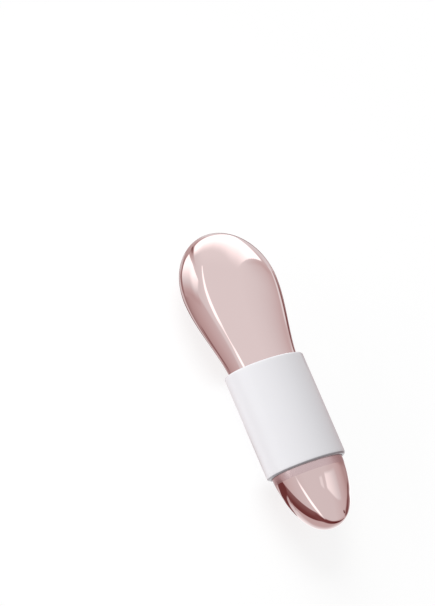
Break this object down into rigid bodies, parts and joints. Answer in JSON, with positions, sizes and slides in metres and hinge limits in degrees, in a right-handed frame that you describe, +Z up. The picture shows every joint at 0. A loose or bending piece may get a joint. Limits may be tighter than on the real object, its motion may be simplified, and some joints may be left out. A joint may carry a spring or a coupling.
{
  "type": "heated eye massager wand",
  "caption": "Handheld heated massager wand with a broad polished paddle head, a small rounded tip head and a white oval grip sleeve with a button and charging dock.",
  "frame": {"origin": "on the ground under the middle of the wand, which lies on its back", "axes": "+Y along the wand towards the paddle head, +Z up out of the wand's front face, +X across its width"},
  "size_m": [0.0474, 0.13, 0.0288],
  "materials": {
    "rose_gold": "mirror polished with a rose gold plating",
    "white_shell": "satin white moulding",
    "core_plastic": "light grey moulded plastic",
    "silicone": "pale translucent silicone rubber",
    "foam": "dark soft foam",
    "cell_foil": "silver laminated foil",
    "board_laminate": "green solder mask",
    "chip_black": "black moulded packages",
    "steel": "bright zinc plated steel",
    "contact_gold": "gold plated contact pins",
    "magnet_nickel": "nickel plated magnets",
    "heater_amber": "amber polyimide film",
    "bead_white": "coated sensor bead",
    "clear_plastic": "clear moulded plastic",
    "dock_plastic": "satin pale grey moulding",
    "weight_metal": "sintered heavy metal",
    "lead_white": "white silicone wire insulation",
    "lead_blue": "blue silicone wire insulation",
    "lead_black": "black silicone wire insulation",
    "lead_red": "red silicone wire insulation",
    "solder": "bright solder"
  },
  "bodies": {
    "housing": {"paddle_head": "rose_gold", "tip_head": "rose_gold", "grip_sleeve": "white_shell", "core_front": "core_plastic", "core_back": "core_plastic", "core_screws": "steel", "paddle_seal": "silicone", "tip_seal": "silicone", "battery_cell": "cell_foil", "battery_foam": "foam", "main_board": "board_laminate", "board_screws": "steel", "board_chips": "chip_black", "button_pad": "silicone", "tact_switch": "chip_black", "status_led": "clear_plastic", "light_pipe": "clear_plastic", "dock_seat": "dock_plastic", "dock_contacts": "contact_gold", "dock_magnets": "magnet_nickel", "paddle_heater": "heater_amber", "thermistor": "bead_white", "heater_pad": "silicone", "heater_frame": "core_plastic", "tip_heater": "heater_amber", "motor_can": "steel", "motor_grommet": "silicone", "paddle_leads": "lead_white", "sensor_leads": "lead_blue", "tip_leads": "lead_white", "motor_leads": "lead_black", "battery_leads": "lead_red", "solder_joints": "solder"},
    "button": {"power_button": "white_shell", "switch_plunger": "dock_plastic"},
    "rotor": {"motor_shaft": "steel", "eccentric_weight": "weight_metal"}
  },
  "joints": [
    {"name": "power_button_press", "type": "slide", "parent": "housing", "child": "button", "axis": [0, 0, 1], "range_m": [0, 0.0005], "stiffness_N_per_m": 400, "springref_m": -0.0015, "deforming": ["button_pad"]},
    {"name": "motor_spin", "type": "hinge", "parent": "housing", "child": "rotor", "pos_m": [0, -0.054, 0.01441], "axis": [0, 1, 0], "continuous": true}
  ]
}
